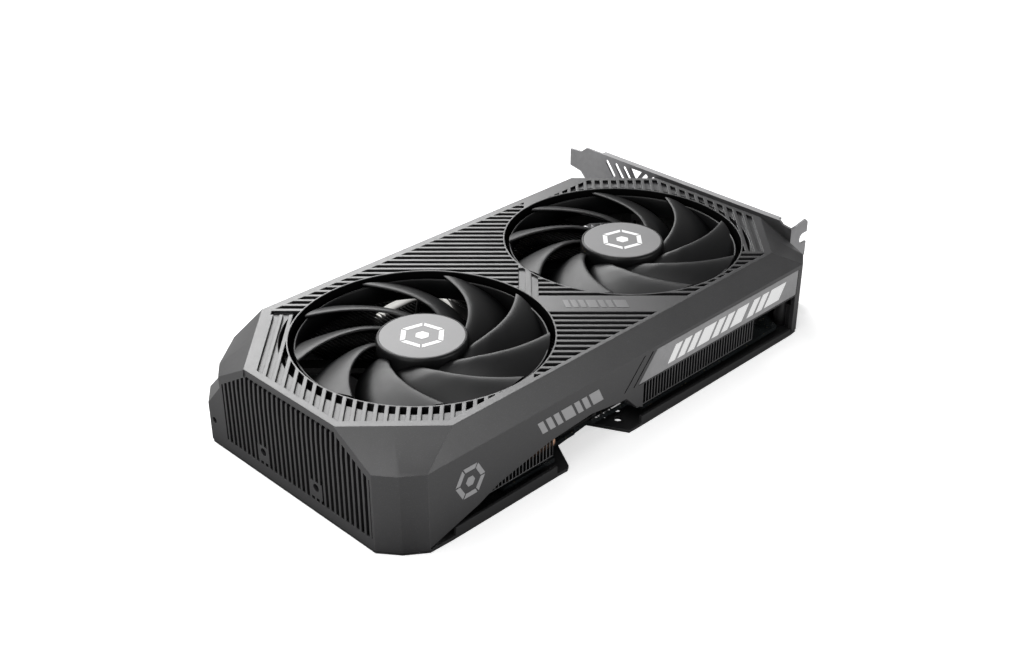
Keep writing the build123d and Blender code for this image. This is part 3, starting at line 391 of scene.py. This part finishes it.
def merged(parts):
    """Join (verts, faces) pairs into one."""
    verts, faces = [], []
    for part_verts, part_faces in parts:
        faces += [tuple(i + len(verts) for i in face) for face in part_faces]
        verts += part_verts
    return verts, faces


def revolve(profile, axis_x, segments):
    """Closed (radius, z) loop turned about the vertical axis at axis_x."""
    count = len(profile)
    verts, faces = [], []
    for k in range(segments):
        angle = 2 * math.pi * k / segments
        for radius, z in profile:
            verts.append(((axis_x + radius * math.cos(angle)) * MM,
                          radius * math.sin(angle) * MM, z * MM))
    for k in range(segments):
        here, following = k * count, (k + 1) % segments * count
        for i in range(count):
            j = (i + 1) % count
            faces.append((here + i, following + i, following + j, here + j))
    return verts, faces


def prism(loop, place, thick):
    count = len(loop)
    verts = [tuple(c * MM for c in place(*point, height))
             for height in (0.0, thick) for point in loop]
    faces = [tuple(range(count))[::-1], tuple(range(count, 2 * count))]
    for i in range(count):
        j = (i + 1) % count
        faces.append((i, j, count + j, count + i))
    return verts, faces


def plates(name, loops, place, thick, material, body="root", bevel_mm=0.0):
    """Thin plates from flat outlines; place maps outline point and height to x, y, z."""
    verts, faces = merged(prism(loop, place, thick) for loop in loops)
    ob = new_object(name, verts, faces, material)
    if bevel_mm:
        add_bevel(ob, bevel_mm)
    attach(ob, body)


def lying_at(base_z):
    """Place outlines in XY, rising from base_z."""
    return lambda x, y, height: (x, y, base_z + height)


def standing_at(wall_y):
    """Place outlines in XZ, rising towards -Y from wall_y."""
    return lambda x, z, height: (x, wall_y - height, z)


# ------------------------------------------------------------------ fan rotors
BLADES = 9
CHORD_STEPS = 26        # leading to trailing edge
SPAN_STEPS = 26         # hub to ring
HUB_SEGMENTS = 128
RING_SEGMENTS = 192
ROOT_R = 15.5
TIP_R = 44.05
SKIN_MAX_R = 44.1       # keeps the blade tips inside the ring's outer surface

# radius, angle of the leading edge from its tip (degrees); smoothed by a quartic
LEAD_ANGLE = np.array([
    (15.4, -55.5), (16.5, -52.0), (19.0, -43.8), (22.0, -37.0), (24.0, -32.6), (27.0, -26.3),
    (30.0, -20.5), (33.5, -14.8), (37.0, -9.6), (40.5, -4.7), (44.05, 0.0)]).T
LEAD_FIT = np.polyfit(*LEAD_ANGLE, 4)
# radius, angle the blade spans (degrees)
CHORD_ANGLE = np.array([(ROOT_R, 43.0), (22, 41.0), (30, 38.5), (37, 36.5), (TIP_R, 35.0)]).T
# radius, height of the leading and of the trailing edge
LEAD_Z = np.array([(ROOT_R, 35.2), (18.5, 36.6), (23.0, 37.7), (29.0, 38.2), (36.0, 38.4),
                   (TIP_R, 38.5)]).T
TRAIL_Z = np.array([(ROOT_R, 28.9), (TIP_R, 29.6)]).T

# closed profiles: radius, z
HUB = [(14.65, 27.5), (16.1, 27.5), (16.2, 27.7), (16.2, 37.5), (16.12, 37.95), (15.9, 38.35),
       (15.6, 38.62), (15.35, 38.70), (15.2, 38.66), (15.15, 38.55), (15.15, 37.96),
       (1.7, 37.96), (1.7, 36.55), (14.65, 36.55)]
RING = [(43.4, 29.4), (43.35, 29.8), (43.35, 36.9), (43.42, 37.15), (43.6, 37.3),
        (43.8, 37.34), (44.0, 37.28), (44.15, 37.1), (44.2, 36.9), (44.2, 29.6),
        (44.05, 29.3), (43.7, 29.2)]


def blade_skins(axis_x, tip_angle):
    """Upper and lower surface grids, offset from the blade's middle surface."""
    chord = 0.5 - 0.5 * np.cos(np.linspace(0, math.pi, CHORD_STEPS + 1))
    radii = ROOT_R + (TIP_R - ROOT_R) * np.linspace(0, 1, SPAN_STEPS + 1)
    middle = np.zeros((SPAN_STEPS + 1, CHORD_STEPS + 1, 3))
    for i, radius in enumerate(radii):
        lead = math.radians(tip_angle + np.polyval(LEAD_FIT, radius))
        span = math.radians(np.interp(radius, *CHORD_ANGLE))
        lead_z = np.interp(radius, *LEAD_Z)
        trail_z = np.interp(radius, *TRAIL_Z)
        for j, along in enumerate(chord):
            drop = 0.42 * along + 0.58 * along * along
            angle = lead - along * span
            middle[i, j] = (axis_x + radius * math.cos(angle), radius * math.sin(angle),
                            lead_z - (lead_z - trail_z) * drop)
    normals = np.cross(np.gradient(middle, axis=1), np.gradient(middle, axis=0))
    normals /= np.linalg.norm(normals, axis=2, keepdims=True)
    normals[normals[:, :, 2] < 0] *= -1
    # half thickness: full in the middle, thin at both edges, tapering to the trailing one
    fullness = np.power(np.clip(1 - np.abs(2 * chord - 1) ** 5, 0, 1), 0.5)
    half = 0.5 * (0.15 + 1.45 * fullness) * (1 - 0.25 * chord)
    upper = middle + normals * half[None, :, None]
    lower = middle - normals * half[None, :, None]
    for skin in (upper, lower):
        reach = np.hypot(skin[:, :, 0] - axis_x, skin[:, :, 1])
        pull = np.minimum(1.0, SKIN_MAX_R / reach)
        skin[:, :, 0] = axis_x + (skin[:, :, 0] - axis_x) * pull
        skin[:, :, 1] *= pull
    return upper, lower


def blade_mesh(axis_x, tip_angle):
    upper, lower = blade_skins(axis_x, tip_angle)
    verts = list(upper.reshape(-1, 3) * MM) + list(lower.reshape(-1, 3) * MM)

    def top(i, j):
        return i * (CHORD_STEPS + 1) + j

    def low(i, j):
        return (SPAN_STEPS + 1) * (CHORD_STEPS + 1) + top(i, j)

    faces = []
    for i in range(SPAN_STEPS):
        for j in range(CHORD_STEPS):
            faces.append((top(i, j), top(i, j + 1), top(i + 1, j + 1), top(i + 1, j)))
            faces.append((low(i, j), low(i + 1, j), low(i + 1, j + 1), low(i, j + 1)))
    last = CHORD_STEPS
    for i in range(SPAN_STEPS):         # leading and trailing edges
        faces.append((top(i, 0), top(i + 1, 0), low(i + 1, 0), low(i, 0)))
        faces.append((top(i, last), low(i, last), low(i + 1, last), top(i + 1, last)))
    last = SPAN_STEPS
    for j in range(CHORD_STEPS):        # root and tip
        faces.append((top(0, j), low(0, j), low(0, j + 1), top(0, j + 1)))
        faces.append((top(last, j), top(last, j + 1), low(last, j + 1), low(last, j)))
    return verts, faces


def fan_rotor(side, axis_x, tip_angle):
    verts, faces = merged([revolve(HUB, axis_x, HUB_SEGMENTS),
                           revolve(RING, axis_x, RING_SEGMENTS)])
    rim = new_object("fan_hub_ring_" + side, verts, faces, "rotor_plastic", smooth_angle=35)
    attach(rim, "fan_" + side)
    verts, faces = merged(blade_mesh(axis_x, tip_angle + 360.0 / BLADES * k)
                          for k in range(BLADES))
    blades = new_object("fan_blades_" + side, verts, faces, "rotor_plastic", smooth_angle=60)
    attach(blades, "fan_" + side)
    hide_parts("fan_rotor_" + side)


for fan in FANS:
    fan_rotor(*fan)


# ------------------------------------------------------------------ raised marks
HUB_MARK_Z = 38.74
BADGE_Y = -53.28        # outer face of the long badge
WALL_Y = -53.38         # outer face of the shroud's side wall


def hex_mark(center_x, center_y, core, inner, outer, turn):
    """Six separate bars in a ring from inner to outer radius, round a solid hexagon."""
    angles = [math.radians(60 * k + turn) for k in range(7)]
    gap = 0.05          # share of a side left open at each end of a bar
    loops = []
    for start, end in zip(angles, angles[1:]):
        in_start, out_start, in_end, out_end = [
            Vector((math.cos(angle) * radius, math.sin(angle) * radius))
            for angle in (start, end) for radius in (inner, outer)]
        bar = [in_start.lerp(in_end, gap), out_start.lerp(out_end, gap),
               out_start.lerp(out_end, 1 - gap), in_start.lerp(in_end, 1 - gap)]
        loops.append([(center_x + point.x, center_y + point.y) for point in bar])
    loops.append([(center_x + core * math.cos(angle), center_y + core * math.sin(angle))
                  for angle in angles[:6]])
    return loops


def slanted_bars(start, end, low, high, widths, slant):
    """Row of leaning bars; widths alternate bar and gap and are fitted to start..end."""
    fit = (end - start) / sum(widths)
    loops, left = [], start
    for i, width in enumerate(widths):
        if i % 2 == 0:
            loops.append([(left, low), (left + width * fit, low),
                          (left + width * fit + slant, high), (left + slant, high)])
        left += width * fit
    return loops


def on_face_diagonal(along, across, height):
    """Place outlines on the fan face, turned by -45 degrees and sunk by 0.01."""
    half_root = math.sqrt(0.5)
    return ((along + across) * half_root, (across - along) * half_root,
            FACE_Z - 0.01 + height)


for side, axis_x, _ in FANS:
    plates("hub_mark_" + side,
           hex_mark(axis_x, 0, core=2.6, inner=6.6, outer=8.6, turn=-15),
           lying_at(HUB_MARK_Z), thick=0.08, material="white_marking",
           body="fan_" + side)
plates("badge_bars",
       slanted_bars(start=17.0, end=84.0, low=20.2, high=26.6, slant=4.2,
                    widths=[5, 2, 5, 2, 5, 2, 9, 2, 5, 2, 5, 2, 9, 4, 5, 2, 5, 2, 12]),
       standing_at(BADGE_Y), thick=0.09, material="white_marking")
plates("side_bars",
       slanted_bars(start=-47.5, end=-17.5, low=21.0, high=26.2, slant=-2.6,
                    widths=[3, 1.4, 3, 1.4, 3, 1.4, 6, 1.4, 3, 1.4, 3, 1.4, 6]),
       standing_at(WALL_Y), thick=0.07, material="grey_marking")
plates("side_mark", hex_mark(-80.5, 19.0, core=2.0, inner=4.6, outer=6.6, turn=0),
       standing_at(WALL_Y), thick=0.07, material="grey_marking")
# on the smooth band between the fans
plates("face_bars",
       slanted_bars(start=13.2, end=35.8, low=-18.9, high=-13.5, slant=-1.2,
                    widths=[3, 1.3, 3, 1.3, 3, 1.3, 5.5, 1.3, 3, 1.3, 3, 1.3, 7]),
       on_face_diagonal, thick=0.09, material="face_marking")


# ------------------------------------------------------------------ bent heat pipe
PIPE_R = 2.2
# centre line seen between the tail fan's blades: x, y, z
PIPE_PATH = [(-58.0, 41.9, 14.5), (-46.0, 41.9, 17.0), (-39.0, 41.9, 20.8), (-33.5, 41.9, 23.5),
             (-27.0, 41.9, 24.0), (-20.5, 41.7, 24.0), (-15.6, 40.2, 23.8), (-12.0, 36.2, 23.4),
             (-11.2, 31.5, 21.4), (-11.4, 28.0, 16.0)]


def heat_pipe_bend():
    curve = bpy.data.curves.new("heat_pipe_bend", "CURVE")
    curve.dimensions = "3D"
    curve.bevel_depth = PIPE_R * MM
    curve.bevel_resolution = 8
    curve.resolution_u = 16
    curve.use_fill_caps = True
    spline = curve.splines.new("BEZIER")
    spline.bezier_points.add(len(PIPE_PATH) - 1)
    for knot, point in zip(spline.bezier_points, PIPE_PATH):
        knot.co = tuple(c * MM for c in point)
        knot.handle_left_type = knot.handle_right_type = "AUTO"
    ob = bpy.data.objects.new("heat_pipe_bend", curve)
    bpy.context.scene.collection.objects.link(ob)
    curve.materials.append(MATERIALS["pipe_painted_highlight"].material)
    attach(ob, "root")


heat_pipe_bend()


# ------------------------------------------------------------------ small parts on the board
PARTS_X = (-10.6, -6.2, -3.4, 5.6)
PARTS_Y = -42.75
END_OFFSET = 0.72       # from a part's centre to the centre of its metal end
PRINTS_Y = -42.8
# start and end X of the printed dashes
PRINTS_X = ((-9.2, -8.4), (-7.9, -7.3), (-5.2, -4.6), (-2.2, -1.6), (-0.8, 4.2))


def rectangle(x, y, half_x, half_y):
    return [(x + sx * half_x, y + sy * half_y) for sx, sy in ((-1, -1), (1, -1), (1, 1), (-1, 1))]


plates("board_parts", [rectangle(x, PARTS_Y, half_x=0.55, half_y=0.30) for x in PARTS_X],
       lying_at(BOARD_TOP_Z), thick=0.45, material="chip_epoxy", bevel_mm=0.05)
plates("board_part_ends",
       [rectangle(x + end * END_OFFSET, PARTS_Y, half_x=0.18, half_y=0.31)
        for x in PARTS_X for end in (-1, 1)],
       lying_at(BOARD_TOP_Z), thick=0.47, material="tin_pins", bevel_mm=0.03)
plates("board_print",
       [rectangle((start + end) / 2, PRINTS_Y, half_x=(end - start) / 2, half_y=0.32)
        for start, end in PRINTS_X],
       lying_at(BOARD_TOP_Z), thick=0.02, material="white_marking",
       bevel_mm=0.004)


# ------------------------------------------------------------------ bevels on the big shells
def crisp(piece, width_mm, angle):
    """Weld, merge flat areas, then a narrow real bevel on the sharp edges."""
    ob = NODES[piece]
    weld = ob.modifiers.new("weld", "WELD")
    weld.merge_threshold = 0.000002
    dissolve = ob.modifiers.new("flat", "DECIMATE")
    dissolve.decimate_type = "DISSOLVE"
    dissolve.angle_limit = math.radians(0.6)
    add_bevel(ob, width_mm).angle_limit = math.radians(angle)
    # broad faces stay flat, only the bevels turn
    shading = ob.modifiers.new("shading", "WEIGHTED_NORMAL")
    shading.mode = "FACE_AREA"
    shading.weight = 100
    shading.keep_sharp = True


crisp("shroud", width_mm=0.16, angle=24)
crisp("io_bracket", width_mm=0.10, angle=40)
crisp("backplate", width_mm=0.14, angle=40)
crisp("side_badge", width_mm=0.12, angle=40)

# ------------------------------------------------------------------ stage, in metres
FLOOR_BOUNCE = 0.66     # light the floor gives back to the card
SKY = 0.16              # world light on the card


def floor_material():
    """A lit white sweep to the camera, a dimmer one to the card so its low walls stay deep."""
    g = Graph("floor_white")
    g.shade({"Base Color": g.mix(g.noise(scale=3.0), (0.86, 0.86, 0.865), (0.90, 0.90, 0.90)),
             "Roughness": 0.9, "Specular IOR Level": 0.1,
             "Emission Color": (1, 1, 1), "Emission Strength": 0.60})
    # no bounce from the rectangle right under the card
    center_y, half_x, half_y, fade = 0.006, 0.100, 0.052, 0.035
    place = g.split(g.coords)
    off_y = g.math("SUBTRACT", place["Y"], center_y)
    past_x = g.math("SUBTRACT", g.math("ABSOLUTE", place["X"]), half_x)
    past_y = g.math("SUBTRACT", g.math("ABSOLUTE", off_y), half_y)
    open_floor = g.ramp(g.math("MAXIMUM", past_x, past_y), high=fade)
    dim = g.node("ShaderNodeEmission", {
        "Color": (1, 1, 1), "Strength": g.math("MULTIPLY", open_floor, FLOOR_BOUNCE)})
    to_camera = g.node("ShaderNodeLightPath").outputs["Is Camera Ray"]
    choice = g.node("ShaderNodeMixShader", {0: to_camera, 1: dim.outputs[0],
                                            2: g.bsdf.outputs[0]})
    g.feed(g.out.inputs[0], choice.outputs[0])


def floor():
    cells, half_size, z = 24, 4.0, -0.00005
    row = cells + 1
    verts = [((i / cells - 0.5) * 2 * half_size, (j / cells - 0.5) * 2 * half_size, z)
             for i in range(row) for j in range(row)]
    faces = [(i * row + j, (i + 1) * row + j, (i + 1) * row + j + 1, i * row + j + 1)
             for i in range(cells) for j in range(cells)]
    floor_material()
    new_object("floor", verts, faces, "floor_white")


def world():
    """Pure white to the camera, a faint white sky to everything else."""
    studio = bpy.data.worlds.new("studio")
    bpy.context.scene.world = studio
    studio.use_nodes = True
    nodes, links = studio.node_tree.nodes, studio.node_tree.links
    nodes.clear()
    out = nodes.new("ShaderNodeOutputWorld")
    mix = nodes.new("ShaderNodeMixShader")
    for slot, strength in ((1, SKY), (2, 1.0)):
        background = nodes.new("ShaderNodeBackground")
        background.inputs["Color"].default_value = (1, 1, 1, 1)
        background.inputs["Strength"].default_value = strength
        links.new(background.outputs[0], mix.inputs[slot])
    light_path = nodes.new("ShaderNodeLightPath")
    links.new(light_path.outputs["Is Camera Ray"], mix.inputs[0])
    links.new(mix.outputs[0], out.inputs[0])


def area(name, azimuth, elevation, distance, target, size, power, size_y=None):
    """Area light placed by angles (degrees) round a point over the card's middle."""
    light = bpy.data.lights.new(name, "AREA")
    light.energy = power
    light.size = size
    if size_y:
        light.shape = "RECTANGLE"
        light.size_y = size_y
    ob = bpy.data.objects.new(name, light)
    bpy.context.scene.collection.objects.link(ob)
    turn, rise = math.radians(azimuth), math.radians(elevation)
    place = (distance * math.cos(rise) * math.cos(turn),
             distance * math.cos(rise) * math.sin(turn),
             0.03 + distance * math.sin(rise))
    ob.location = place
    ob.rotation_mode = "QUATERNION"
    ob.rotation_quaternion = (Vector(target) - Vector(place)).to_track_quat("-Z", "Y")


def camera():
    data = bpy.data.cameras.new("camera")
    data.lens = 50
    data.sensor_width = 36
    data.clip_start = 0.01
    ob = bpy.data.objects.new("camera", data)
    bpy.context.scene.collection.objects.link(ob)
    ob.location = (-0.32970, -0.32119, 0.24676 + FACE_Z * MM)
    backwards = Vector((-0.612372, -0.612372, 0.5))
    ob.rotation_mode = "QUATERNION"
    ob.rotation_quaternion = (-backwards).to_track_quat("-Z", "Y")
    bpy.context.scene.camera = ob


floor()
world()
# from +Y, mirrored in the fan face and strongest over the tail
area("rear_softbox", azimuth=74, elevation=32, distance=1.5, target=(-0.06, 0, 0.03),
     size=1.5, power=25.0, size_y=0.8)
# soft key from high over the tail
area("top_key", azimuth=180, elevation=62, distance=1.6, target=(0, 0, 0.03),
     size=1.2, power=10.0)
# weak low fills on the -Y wall and the tail end
area("side_fill", azimuth=286, elevation=12, distance=1.6, target=(-0.08, 0, 0.02),
     size=0.8, power=5.0, size_y=0.35)
area("tail_fill", azimuth=192, elevation=8, distance=1.6, target=(-0.06, 0, 0.02),
     size=0.9, power=5.0, size_y=0.4)
camera()
bpy.context.scene.view_settings.view_transform = "Standard"
bpy.context.scene.view_settings.look = "None"

bpy.context.view_layer.update()
